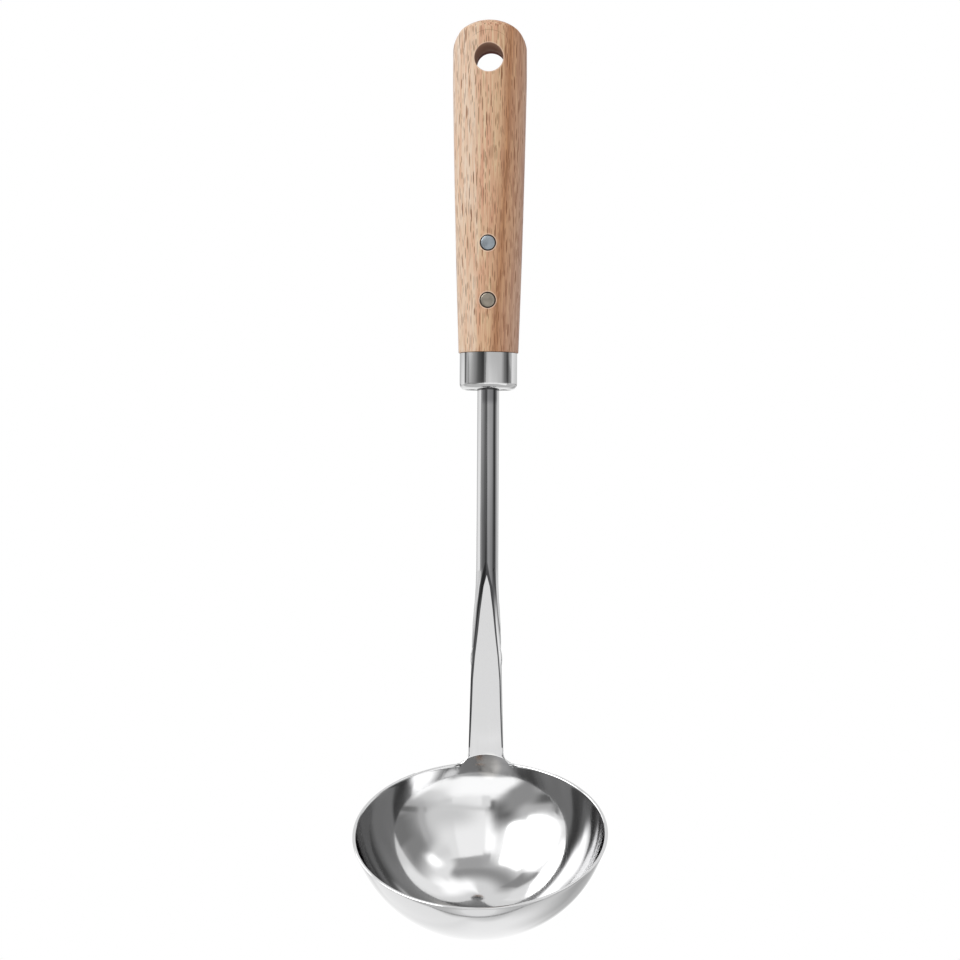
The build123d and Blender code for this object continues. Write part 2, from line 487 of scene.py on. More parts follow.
# Holes through the tang for the rivets
def drillTang(piece):
    for below in head["rivetHeights"]:
        bpy.ops.mesh.primitive_cylinder_add(
            vertices=head["drillSides"],
            radius=head["rivetHole"] / 2 * mm,
            depth=head["drillLength"] * mm,
            location=(0, 0, -below * mm),
            rotation=(pi / 2, 0, 0),
        )
        drill = bpy.context.object
        settle(drill)
        applyModifier(piece, "BOOLEAN", operation="DIFFERENCE", object=drill, solver="EXACT")
        bpy.data.objects.remove(drill)


ladleHead = makeHead()
print("head modelled:", len(ladleHead.data.polygons), "faces")
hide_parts("ladle_head")
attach(ladleHead, "root")


# A copy of a CAD node with its loose triangles joined, open in edit mode
def openCopy(node, name):
    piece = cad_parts[node].copy()
    piece.data = piece.data.copy()
    piece.name = name
    scene.collection.objects.link(piece)
    openPiece(piece)
    selectMesh()
    bpy.ops.mesh.remove_doubles(threshold=rounding["weld"] * mm)
    bpy.ops.mesh.customdata_custom_splitnormals_clear()
    return piece


def finishCopy(piece, node):
    closePiece()
    bpy.ops.object.shade_smooth_by_angle(angle=radians(rounding["smoothAngle"]))
    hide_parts(node)
    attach(piece, "root")
    print(piece.name, "modelled:", len(piece.data.polygons), "faces")


# Handle: beech, with the rims of the bore and the shoulder above the ferrule rounded
handle = {
    "boreRadius": 5.3,
    "boreFace": 8,  # the bore's two rims lie further out than this
    "boreEdge": 0.35,
    "boreSlack": 0.2,
    "shoulder": 108.6,
    "shoulderEdge": 0.25,
    "shoulderSlack": 0.02,
    "neck": (11.1, 8.4),
    "tenonReach": 0.98,  # of the neck's oval
    "edgeAngle": 60,
    "seamAbove": 2.5,
    "seamOutside": 7.2,
    "seamAngle": 12,
    "seamReach": 1.2,
    "seamCuts": 2,
    "seamPasses": 10,
    "seamFactor": 0.5,
    "seamMargins": (1, 0.5),  # faces and vertices this far past the seam's bounds are taken in
}


# Sands the seam between the handle's oval and its rounded top
def sandTopSeam(piece):
    above, outside = handle["seamAbove"] * mm, handle["seamOutside"] * mm
    faceMargin, vertMargin = handle["seamMargins"]

    def onTop(co, slack):
        return co.z > above - slack * mm and hypot(co.x, co.z) > outside - slack * mm

    bpy.ops.mesh.select_mode(type="FACE")
    selectMesh("DESELECT")
    shape = bmesh.from_edit_mesh(piece.data)
    for face in shape.faces:
        face.select_set(all(onTop(vert.co, faceMargin) for vert in face.verts))
    bmesh.update_edit_mesh(piece.data)
    bpy.ops.mesh.subdivide(number_cuts=handle["seamCuts"])
    shape = bmesh.from_edit_mesh(piece.data)
    seam = set()
    bend = radians(handle["seamAngle"])
    for edge in shape.edges:
        if edge.calc_face_angle(0) > bend and all(onTop(vert.co, 0) for vert in edge.verts):
            seam.update(edge.verts)
    tree = KDTree(len(seam))
    for index, vert in enumerate(seam):
        tree.insert(vert.co, index)
    tree.balance()
    reach = handle["seamReach"] * mm
    onSeam = [vert for vert in shape.verts if onTop(vert.co, vertMargin)]
    near = [vert for vert in onSeam if tree.find(vert.co)[2] < reach]
    bpy.ops.mesh.select_mode(type="VERT")
    selectMesh("DESELECT")
    for vert in near:
        vert.select_set(True)
    bmesh.update_edit_mesh(piece.data)
    bpy.ops.mesh.vertices_smooth(factor=handle["seamFactor"], repeat=handle["seamPasses"])


def makeHandle():
    piece = openCopy("wooden_handle", "beechHandle")
    sandTopSeam(piece)

    def onBoreRim(co):
        offRim = abs(hypot(co.x, co.z) - handle["boreRadius"])
        return abs(co.y) > handle["boreFace"] and offRim < handle["boreSlack"]

    def onShoulder(co):
        neckX, neckY = handle["neck"]
        oval = (co.x / neckX) ** 2 + (co.y / neckY) ** 2
        return abs(co.z + handle["shoulder"]) < handle["shoulderSlack"] and oval > handle["tenonReach"]

    roundEdges(piece, handle["boreEdge"], handle["edgeAngle"], onBoreRim)
    roundEdges(piece, handle["shoulderEdge"], handle["edgeAngle"], onShoulder)
    finishCopy(piece, "wooden_handle")
    return piece


ferrule = {
    "edge": 0.2,
    "edgeAngle": 30,
    "bottom": 122.1,  # only edges lower than this are rounded
}


def makeFerrule():
    piece = openCopy("ferrule", "ferruleCup")
    roundEdges(piece, ferrule["edge"], ferrule["edgeAngle"], lambda co: co.z < -ferrule["bottom"])
    finishCopy(piece, "ferrule")
    return piece


rivet = {
    "edge": 0.25,
    "edgeAngle": 60,
    "plainFace": 3,  # degrees; bends under this are joined into one face
    "dishedFace": 6,
}


def makeRivet(node, name, flat):
    piece = openCopy(node, name)
    bpy.ops.mesh.dissolve_limited(angle_limit=radians(flat))
    roundEdges(piece, rivet["edge"], rivet["edgeAngle"], lambda co: True)
    finishCopy(piece, node)
    return piece


beechHandle = makeHandle()
ferruleCup = makeFerrule()
upperRivet = makeRivet("upper_rivet", "upperRivet", rivet["plainFace"])
lowerRivet = makeRivet("lower_rivet", "lowerRivet", rivet["dishedFace"])


def isSocket(value):
    return isinstance(value, bpy.types.NodeSocket)


# Sets a node's inputs, or joins them to the sockets given
def feed(node, inputs):
    for slot, value in inputs.items():
        if isSocket(value):
            node.id_data.links.new(value, node.inputs[slot])
        else:
            node.inputs[slot].default_value = value


# A shader node with its settings made and its inputs fed, in the same tree as the sockets that feed it
def addNode(kind, inputs, tree=None, **settings):
    if tree is None:
        tree = next(value.id_data for value in inputs.values() if isSocket(value))
    node = tree.nodes.new("ShaderNode" + kind)
    for name, value in settings.items():
        setattr(node, name, value)
    feed(node, inputs)
    return node


def calculate(operation, *values):
    return addNode("Math", dict(enumerate(values)), operation=operation).outputs[0]


def add(first, second):
    return calculate("ADD", first, second)


def subtract(first, second):
    return calculate("SUBTRACT", first, second)


def multiply(first, second):
    return calculate("MULTIPLY", first, second)


def square(value):
    return calculate("POWER", value, 2.0)


def absolute(value):
    return calculate("ABSOLUTE", value)


def vectorMath(operation, *values):
    return addNode("VectorMath", dict(enumerate(values)), operation=operation).outputs


# The place's three parts, by the names X, Y and Z
def split(place):
    return addNode("SeparateXYZ", {0: place}).outputs


# Maps a value from one range to another
def spread(value, start, end, low=0.0, high=1.0, **settings):
    inputs = {"Value": value, "From Min": start, "From Max": end, "To Min": low, "To Max": high}
    return addNode("MapRange", inputs, **settings).outputs[0]


# Fades from 1 at the first value to 0 at the second
def fade(value, full, gone):
    return spread(value, full, gone, 1.0, 0.0, interpolation_type="SMOOTHSTEP")


# Mixes two colours, sockets or plain ones
def mixColours(factor, first, second, blend="MIX"):
    first, second = [(*value, 1) if isinstance(value, tuple) else value for value in (first, second)]
    inputs = {0: factor, 6: first, 7: second}
    return addNode("Mix", inputs, data_type="RGBA", blend_type=blend).outputs[2]


# A colour ramp with its stops set, each a position from 0 to 1 and a colour
def addRamp(value, stops):
    node = addNode("ValToRGB", {0: value})
    elements = node.color_ramp.elements
    for _ in stops[2:]:
        elements.new(0.5)
    for element, (where, colour) in zip(elements, stops):
        element.position = where
        element.color = (*colour, 1)
    return node.outputs[0]


def newGroup(name, inputs, outputs):
    group = bpy.data.node_groups.new(name, "ShaderNodeTree")
    for side, sockets in (("INPUT", inputs), ("OUTPUT", outputs)):
        for label, kind in sockets:
            group.interface.new_socket(label, in_out=side, socket_type="NodeSocket" + kind)
    given = group.nodes.new("NodeGroupInput").outputs
    result = group.nodes.new("NodeGroupOutput").inputs
    return group, given, result


def useGroup(group, inputs):
    return addNode("Group", inputs, node_tree=group).outputs


def enlarge(vector, times):
    return addNode("VectorMath", {0: vector, "Scale": times}, operation="SCALE").outputs[0]


def newMaterial(name):
    material = bpy.data.materials.new(name)
    material.use_nodes = True
    place = addNode("TexCoord", {}, material.node_tree).outputs["Object"]
    return material, material.node_tree.nodes["Principled BSDF"], enlarge(place, 1 / mm)


def dress(piece, material):
    piece.data.materials.clear()
    piece.data.materials.append(material)


def addBump(height, distance, **inputs):
    return addNode("Bump", {"Height": height, "Distance": distance, **inputs}).outputs[0]


def addNoise(place, scale=1.0, detail=2.0):
    return addNode("TexNoise", {"Vector": place, "Scale": scale, "Detail": detail}).outputs[0]


# Stretches a place, in mm, so that one unit of pattern is so many mm wide, deep and long
def stretch(place, width, depth, length):
    inputs = {"Vector": place, "Scale": (1 / width, 1 / depth, 1 / length)}
    return addNode("Mapping", inputs).outputs[0]


# Polishing marks: soft waves, and fine lines along the way the belt or wheel ran
def polishGroup():
    group, given, result = newGroup(
        "polishMarks",
        (("Place", "Vector"), ("Lines", "Vector"), ("Wave Size", "Float")),
        (("Waves", "Float"), ("Marks", "Float")),
    )
    size = calculate("DIVIDE", 1.0, given["Wave Size"])
    group.links.new(addNoise(given["Place"], size, detail=1.0), result["Waves"])
    group.links.new(addNoise(given["Lines"], detail=3.0), result["Marks"])
    return group


# Polished steel, shared by the head and the ferrule
polish = {
    "roughness": (0.05, 0.1),  # plain, and where the marks are strongest
    "marksFrom": (0.3, 0.7),
    "waveSize": 17,  # mm
    "waveHeight": 0.00012,  # metres
    "markHeight": 0.0000022,
    "markWidth": 0.35,
    "markLength": 9,
}


def finishSteel(shader, place, lines, colour, marks):
    found = useGroup(marks, {"Place": place, "Lines": lines, "Wave Size": polish["waveSize"]})
    rough = spread(found["Marks"], *polish["marksFrom"], *polish["roughness"])
    bump = addBump(found["Waves"], polish["waveHeight"])
    bump = addBump(found["Marks"], polish["markHeight"], Normal=bump)
    feed(shader, {"Normal": bump, "Roughness": rough, "Base Color": colour, "Metallic": 1})


# Lines along the handle and shaft, for the marks of a belt
def marksAlong(place):
    width = polish["markWidth"]
    return stretch(place, width, width, polish["markLength"])


steel = {
    "colour": (0.6, 0.6, 0.603),
    "marksRound": 90,  # lines to a radian in the bowl
    "bowlBelow": (-262, -259),
    "shaft": (0.3, 0.3, 0.304),  # painted reflection: the shaft's front is greyer, most so low down, and painted shadow under the ferrule at its top
    "shaftLow": (0.21, 0.21, 0.214),
    "shaftLowFrom": (-186, -135),
    "paintedFerruleShadow": (0.19, 0.19, 0.195),
    "shaftTopFrom": (-125.5, -128.5),
    "shaftLeft": (-1.7, -2.6),  # the grey reaches from here to its right side
    "shaftRight": (3.2, 3.7),
    "shaftEnd": (-187, -192),
    "besideEnd": (-197, -212),  # beside the facet the grey goes on to here
    "besideSoft": (0.12, -0.02),
    "paintedDarkStripe": (2.45, 0.2, 0.65),  # painted reflection, a darker stripe: to the right, half full, half faded
    "bandShare": 0.6,
    "glow": (0.95, 0.93, 0.9),  # painted highlight: the wall under the strap shows a pale glow
    "glowPlace": (1.3, 0, -260.8),
    "glowReach": (2.2, 5.5),
    "glowFront": (-9, -14),
    # painted reflection: dark edges along the facet and the strap
    "edge": (0.045, 0.045, 0.047),
    "edgeRight": 0.6,  # the dark edge is narrower on the right
    "edgeFront": (-3.2, -2.9),
    "edgeSoft": (-0.25, 0.1),
    "edges": (  # below the hole, where the flat's painted dark edge starts, how wide and how strong it is
        (130, -0.3, 0.5, 0.1),
        (150, -0.3, 0.7, 0.45),
        (170, -0.3, 0.8, 0.65),
        (186, -0.3, 1.0, 0.8),
        (190.3, -0.15, 1.9, 0.95),
        (195, 1.1, 1.7, 0.95),
        (203.7, 2.23, 1.5, 0.95),
        (212.2, 3.1, 1.25, 0.95),
        (220.6, 4.1, 1.0, 0.95),
        (229.2, 4.8, 1.0, 0.95),
        (238.9, 5.1, 1.0, 0.95),
        (248, 5.45, 1.0, 0.95),
        (254, 5.75, 1.0, 0.9),
    ),
    "edgeUnit": 10,  # a ramp holds the starts and widths as colours between 0 and 1
    "edgeShift": 1,
}


# Painted reflection on the shaft's front: grey, with a darker stripe on its right, and painted shadow at
# its top under the ferrule
def shaftPaintedReflection(parts):
    low = fade(parts["Z"], *steel["shaftLowFrom"])
    grey = mixColours(low, steel["shaft"], steel["shaftLow"])
    underFerrule = fade(parts["Z"], *steel["shaftTopFrom"])
    grey = mixColours(underFerrule, grey, steel["paintedFerruleShadow"])
    middle, full, gone = steel["paintedDarkStripe"]
    paintedDarkStripe = absolute(subtract(parts["X"], middle))
    paintedDarkStripe = multiply(fade(paintedDarkStripe, full, gone), steel["bandShare"])
    return mixColours(paintedDarkStripe, grey, steel["edge"])


# The painted dark edge's start, width and strength at a height
def paintedEdgeFigures(parts):
    edges = steel["edges"]
    top, bottom = edges[0][0], edges[-1][0]
    unit, shift = steel["edgeUnit"], steel["edgeShift"]
    down = spread(parts["Z"], -top, -bottom)
    stops = []
    for below, start, width, share in edges:
        stops.append(((below - top) / (bottom - top), ((start + shift) / unit, width / unit, share)))
    ramp = addRamp(down, stops)
    read = addNode("SeparateColor", {0: ramp}).outputs
    start = subtract(multiply(read[0], unit), shift)
    width = multiply(read[1], unit)
    within = calculate("LESS_THAN", parts["Z"], -top)
    within = multiply(within, calculate("GREATER_THAN", parts["Z"], -bottom))
    return start, width, multiply(read[2], within)


# The head's colour with painted reflections: a greyer front of the shaft, dark edges along the facet and
# the strap, and a pale glow under the strap
def headColourWithPaintedReflections(place):
    parts = split(place)
    start, width, strength = paintedEdgeFigures(parts)
    right = calculate("GREATER_THAN", parts["X"], 0.0)
    narrow = multiply(right, 1 - steel["edgeRight"])
    width = multiply(width, subtract(1.0, narrow))
    past = subtract(absolute(parts["X"]), start)
    beside = fade(past, *steel["besideSoft"])

    shaft = fade(parts["X"], *steel["shaftLeft"])
    shaft = multiply(shaft, fade(parts["X"], *steel["shaftRight"]))
    lower = multiply(beside, fade(parts["Z"], *steel["besideEnd"]))
    upper = fade(parts["Z"], *steel["shaftEnd"])
    shaft = multiply(shaft, calculate("MAXIMUM", upper, lower))
    colour = mixColours(shaft, steel["colour"], shaftPaintedReflection(parts))

    # painted highlight: a pale glow on the wall under the strap
    level = vectorMath("MULTIPLY", place, (1, 0, 1))[0]
    glow = fade(vectorMath("DISTANCE", level, steel["glowPlace"])["Value"], *steel["glowReach"])
    glow = multiply(glow, fade(parts["Y"], *steel["glowFront"]))
    colour = mixColours(glow, colour, steel["glow"])

    # painted reflection: dark edges beside the facet and along the strap
    beyond = subtract(past, width)
    dark = multiply(beside, fade(beyond, *steel["edgeSoft"]))
    dark = multiply(dark, fade(parts["Y"], *steel["edgeFront"]))
    dark = multiply(dark, strength)
    return mixColours(dark, colour, steel["edge"])


# Polished pressing: the marks run along the shaft and out from the middle of the bowl
def headSteel(marks):
    material, shader, place = newMaterial("polishedPressing")
    bowl = rimGeometry()
    turned = vectorMath("SUBTRACT", place, bowl["centre"])[0]
    turned = {"Vector": turned, "Rotation": (bowl["lean"], 0, 0)}
    turned = addNode("VectorRotate", turned, rotation_type="EULER_XYZ").outputs[0]
    flat = vectorMath("MULTIPLY", turned, (1, 1, 0))[0]
    radius = vectorMath("LENGTH", flat)["Value"]
    around = enlarge(vectorMath("NORMALIZE", flat)[0], steel["marksRound"])
    outwards = calculate("DIVIDE", radius, polish["markLength"])
    rise = addNode("CombineXYZ", {"Z": outwards}).outputs[0]
    radial = vectorMath("ADD", around, rise)[0]
    inBowl = fade(split(place)["Z"], *steel["bowlBelow"])
    inputs = {0: inBowl, 4: marksAlong(place), 5: radial}
    lines = addNode("Mix", inputs, data_type="VECTOR").outputs[1]
    finishSteel(shader, place, lines, headColourWithPaintedReflections(place), marks)
    return material


# Ferrule: painted reflections, vertical tones on the cup's front for what stands close to it
cupLook = {
    "colour": (0.6, 0.6, 0.6),
    "plain": (0.5, 0.5, 0.5),  # tones are halved, so that the ramp can also brighten the steel
    "reach": 11.5,
    "paintedReflections": (  # mm to the right, and the painted reflection's tone on the cup's front there, halved
        (-11.5, 0.5),
        (-8.7, 0.5),
        (-8.35, 0.08),
        (-7.9, 0.08),
        (-7.6, 0.5),
        (-6.5, 0.5),
        (-4.6, 0.27),
        (-2.8, 0.15),
        (-1.3, 0.11),
        (-1.0, 0.5),
        (-0.4, 0.39),
        (5.1, 0.385),
        (6.3, 0.19),
        (7.55, 0.15),
        (7.85, 0.6),
        (11.5, 0.5),
    ),
    "front": (-4.5, -2),
    "low": (-119.6, -121),
}


def ferruleSteel(marks):
    material, shader, place = newMaterial("drawnCup")
    parts = split(place)
    reach = cupLook["reach"]
    stops = [((where + reach) / (2 * reach), (tone,) * 3) for where, tone in cupLook["paintedReflections"]]
    paintedReflections = addRamp(spread(parts["X"], -reach, reach), stops)
    front = fade(parts["Y"], *cupLook["front"])
    front = multiply(front, fade(parts["Z"], *cupLook["low"]))
    tone = mixColours(front, cupLook["plain"], paintedReflections)
    double = tuple(2 * value for value in cupLook["colour"])
    colour = mixColours(1.0, tone, double, blend="MULTIPLY")
    finishSteel(shader, place, marksAlong(place), colour, marks)
    return material


# Rivets: satin pins, the lower one a little warmer
pinLook = {
    "upper": (0.245, 0.275, 0.3),
    "lower": (0.235, 0.21, 0.175),
    "between": (-80, -78),
    "cloud": 0.9,
    "cloudShare": 0.25,
    "roughness": 0.34,
}


def rivetSteel():
    material, shader, place = newMaterial("satinPin")
    low = fade(split(place)["Z"], *pinLook["between"])
    cloud = addNoise(place, pinLook["cloud"], detail=3.0)
    colour = mixColours(low, pinLook["upper"], pinLook["lower"])
    shade = mixColours(pinLook["cloudShare"], colour, cloud, blend="OVERLAY")
    feed(shader, {"Base Color": shade, "Metallic": 1, "Roughness": pinLook["roughness"]})
    return material


# Beech: growth bands across the width, a painted sheen down the left side, pores as short dark dashes
# along the grain
beech = {
    "bands": (  # millimetres across the grain and the wood's colour there
        (-14, (0.76, 0.55, 0.42)),
        (-9, (0.8, 0.55, 0.385)),
        (-5.4, (0.78, 0.52, 0.35)),
        (-1, (0.77, 0.49, 0.315)),
        (3, (0.7, 0.42, 0.255)),
        (6, (0.5, 0.245, 0.125)),
        (7.4, (0.6, 0.335, 0.195)),
        (14, (0.6, 0.375, 0.27)),
    ),
    "pale": (0.84, 0.635, 0.475),  # painted sheen down the left side
    "leftSheenShare": 0.72,
    "leftSheenEnd": (-5.2, -3.2),
    "reach": 14,
    "slope": -0.055,  # how far the grain leans
    "depthTurn": 0.3,  # the bands turn with the depth
    "warpSize": 30,
    "warp": 2.4,
    "tone": (1.1, 1.1, 26),  # width, depth and length of the broad streaks
    "toneShare": 0.22,
    "fine": (0.4, 0.4, 9),
    "fineShare": 0.2,
    "pore": (0.68, 0.68, 8.5),
    "poreCore": 0.37,
    "poreShare": 1.0,
    "smallPore": (0.5, 0.5, 4.6),
    "smallPoreCore": 0.36,
    "smallPoreShare": 0.8,
    "poreColour": (0.27, 0.11, 0.05),
    "paintedBoreShade": (0.125, 0.024, 0.014),
    "paintedBoreBackShade": (0.42, 0.26, 0.19),
    "edgeColour": (0.9, 0.66, 0.5),  # paler edge: painted highlight round the bore's rim, and the rivet holes' paler edges
    "paintedEdgeOnSheen": (0.4, 0.32, 0.32),  # painted sheen: greyer where the wood is seen edge on
    "paintedGapShade": (0.035, 0.02, 0.014),  # painted shade in the narrow gap round each rivet
    "gapInside": 2.62,
    "gapOutside": 2.98,
    "gapEdge": 3.3,  # the hole's own edge is a little paler, most so below
    "gapEdgeShare": 0.7,
    "gapSoft": (0.05, 0.08),
    "gapEdgeSoft": 0.12,
    "boreEdge": (0.02, 0.15),  # past the bore's radius the painted bore shade ends
    # painted highlight round the bore's rim: full out to the first distance past its radius, gone at the
    # second
    "boreHighlightEdge": (0.3, 0.55),
    "boreHighlightShare": 0.55,
    "boreBack": (7.5, 3.5),
    "rimFacing": (1.0, 0.62),
    "rimShare": 0.55,
    "contrast": (0.3, 0.7),  # of the noise in the streaks
    "poreSoft": 0.7,
    "poreDepth": 0.00004,  # metres
    "poreRelief": 0.6,
    "roughness": 0.5,
    "boreRougher": 0.5,
    "sheen": 0.2,
    "topArc": 9.2,  # faint dark arc round the top, where its rounding starts
    "topArcCentre": 0.9,
    "topArcWidth": 0.16,
    "topArcReach": (4, 7),
    "topArcShare": 0.55,
    "topArcAbove": 2.0,
}


# Pores: spindles in stretched cells, each with its own strength
def poreGroup():
    group, given, result = newGroup(
        "pores", (("Place", "Vector"), ("Core", "Float")), (("Mask", "Float"),)
    )
    cells = addNode("TexVoronoi", {"Vector": given["Place"], "Scale": 1.0})
    edge = multiply(given["Core"], beech["poreSoft"])
    core = fade(cells.outputs["Distance"], edge, given["Core"])
    kept = addNode("SeparateColor", {0: cells.outputs["Color"]}).outputs[0]
    group.links.new(multiply(core, kept), result["Mask"])
    return group


# Distance in mm from an axis along Y, at a height
def ringAround(parts, height):
    rise = square(subtract(parts["Z"], height))
    return calculate("SQRT", add(square(parts["X"]), rise))


# Growth bands across the width, drifting with the grain, and a painted sheen down the left side
def beechBands(place, parts):
    size = beech["warpSize"]
    drift = addNoise(stretch(place, size, size, size * 2))
    drift = multiply(subtract(drift, 0.5), beech["warp"] * 2)
    across = add(parts["X"], multiply(parts["Z"], beech["slope"]))
    across = add(across, multiply(parts["Y"], beech["depthTurn"]))
    across = add(across, drift)
    reach = beech["reach"]
    stops = [((where + reach) / (2 * reach), colour) for where, colour in beech["bands"]]
    bands = addRamp(spread(across, -reach, reach), stops)
    pale = fade(add(parts["X"], drift), *beech["leftSheenEnd"])
    pale = multiply(pale, beech["leftSheenShare"])
    return mixColours(pale, bands, beech["pale"])


# Streaks and pores along the grain
def addGrain(place, colour):
    pores = poreGroup()
    for part in ("tone", "fine"):
        streak = addNoise(stretch(place, *beech[part]))
        streak = spread(streak, *beech["contrast"])
        colour = mixColours(beech[part + "Share"], colour, streak, blend="OVERLAY")
    masks = []
    for part in ("pore", "smallPore"):
        where = stretch(place, *beech[part])
        mask = useGroup(pores, {"Place": where, "Core": beech[part + "Core"]})["Mask"]
        mask = multiply(mask, beech[part + "Share"])
        colour = mixColours(mask, colour, beech["poreColour"])
        masks.append(mask)
    return colour, subtract(1.0, add(*masks))


# Painted shade in the gap round a rivet, and the paler edge of its hole
def addGap(parts, below, colour):
    ring = ringAround(parts, -below)
    inside, outside, edge = beech["gapInside"], beech["gapOutside"], beech["gapEdge"]
    softInside, softOutside = beech["gapSoft"]
    outer = fade(ring, outside, outside + softOutside)
    inner = fade(ring, inside, inside - softInside)
    pale = fade(ring, edge, edge + beech["gapEdgeSoft"])
    pale = multiply(pale, beech["gapEdgeShare"])
    colour = mixColours(pale, colour, beech["edgeColour"])
    return mixColours(multiply(outer, inner), colour, beech["paintedGapShade"])


# A faint dark arc on the front and back, round the top
def addTopArc(parts, colour):
    arc = ringAround(parts, beech["topArcCentre"])
    arc = absolute(subtract(arc, beech["topArc"]))
    arc = fade(arc, 0, beech["topArcWidth"])
    wide = fade(absolute(parts["X"]), *beech["topArcReach"])
    arc = multiply(multiply(arc, wide), beech["topArcShare"])
    high = calculate("GREATER_THAN", parts["Z"], beech["topArcAbove"])
    return mixColours(multiply(arc, high), colour, beech["poreColour"])


def beechWood():
    material, shader, place = newMaterial("sandedBeech")
    parts = split(place)
    colour, depth = addGrain(place, beechBands(place, parts))

    # painted highlight round the bore's rim; painted shade inside the bore, lighter towards its back
    fromAxis = ringAround(parts, 0.0)
    inBore, boreHighlight = [
        fade(fromAxis, *[handle["boreRadius"] + past for past in beech[edge]])
        for edge in ("boreEdge", "boreHighlightEdge")
    ]
    boreHighlight = multiply(boreHighlight, beech["boreHighlightShare"])
    colour = mixColours(boreHighlight, colour, beech["edgeColour"])
    toBack = fade(parts["Y"], *beech["boreBack"])
    boreShade = mixColours(toBack, beech["paintedBoreBackShade"], beech["paintedBoreShade"])
    colour = mixColours(inBore, colour, boreShade)

    for below in head["rivetHeights"]:
        colour = addGap(parts, below, colour)
    colour = addTopArc(parts, colour)
    # painted sheen: the wood turns greyer where it is seen edge on
    facing = addNode("LayerWeight", {}, place.id_data).outputs["Facing"]
    edgeOn = fade(facing, *beech["rimFacing"])
    edgeOn = multiply(edgeOn, subtract(beech["rimShare"], inBore))
    edgeOn = calculate("MAXIMUM", edgeOn, 0)
    colour = mixColours(edgeOn, colour, beech["paintedEdgeOnSheen"])
    rough = add(beech["roughness"], multiply(inBore, beech["boreRougher"]))
    bump = addBump(depth, beech["poreDepth"], Strength=beech["poreRelief"])
    feed(shader, {"Base Color": colour, "Roughness": rough, "Normal": bump})
    shader.inputs["Specular IOR Level"].default_value = beech["sheen"]
    return material


marks = polishGroup()
dress(ladleHead, headSteel(marks))
dress(ferruleCup, ferruleSteel(marks))
pinSteel = rivetSteel()
dress(upperRivet, pinSteel)
dress(lowerRivet, pinSteel)
dress(beechHandle, beechWood())
print("materials made")

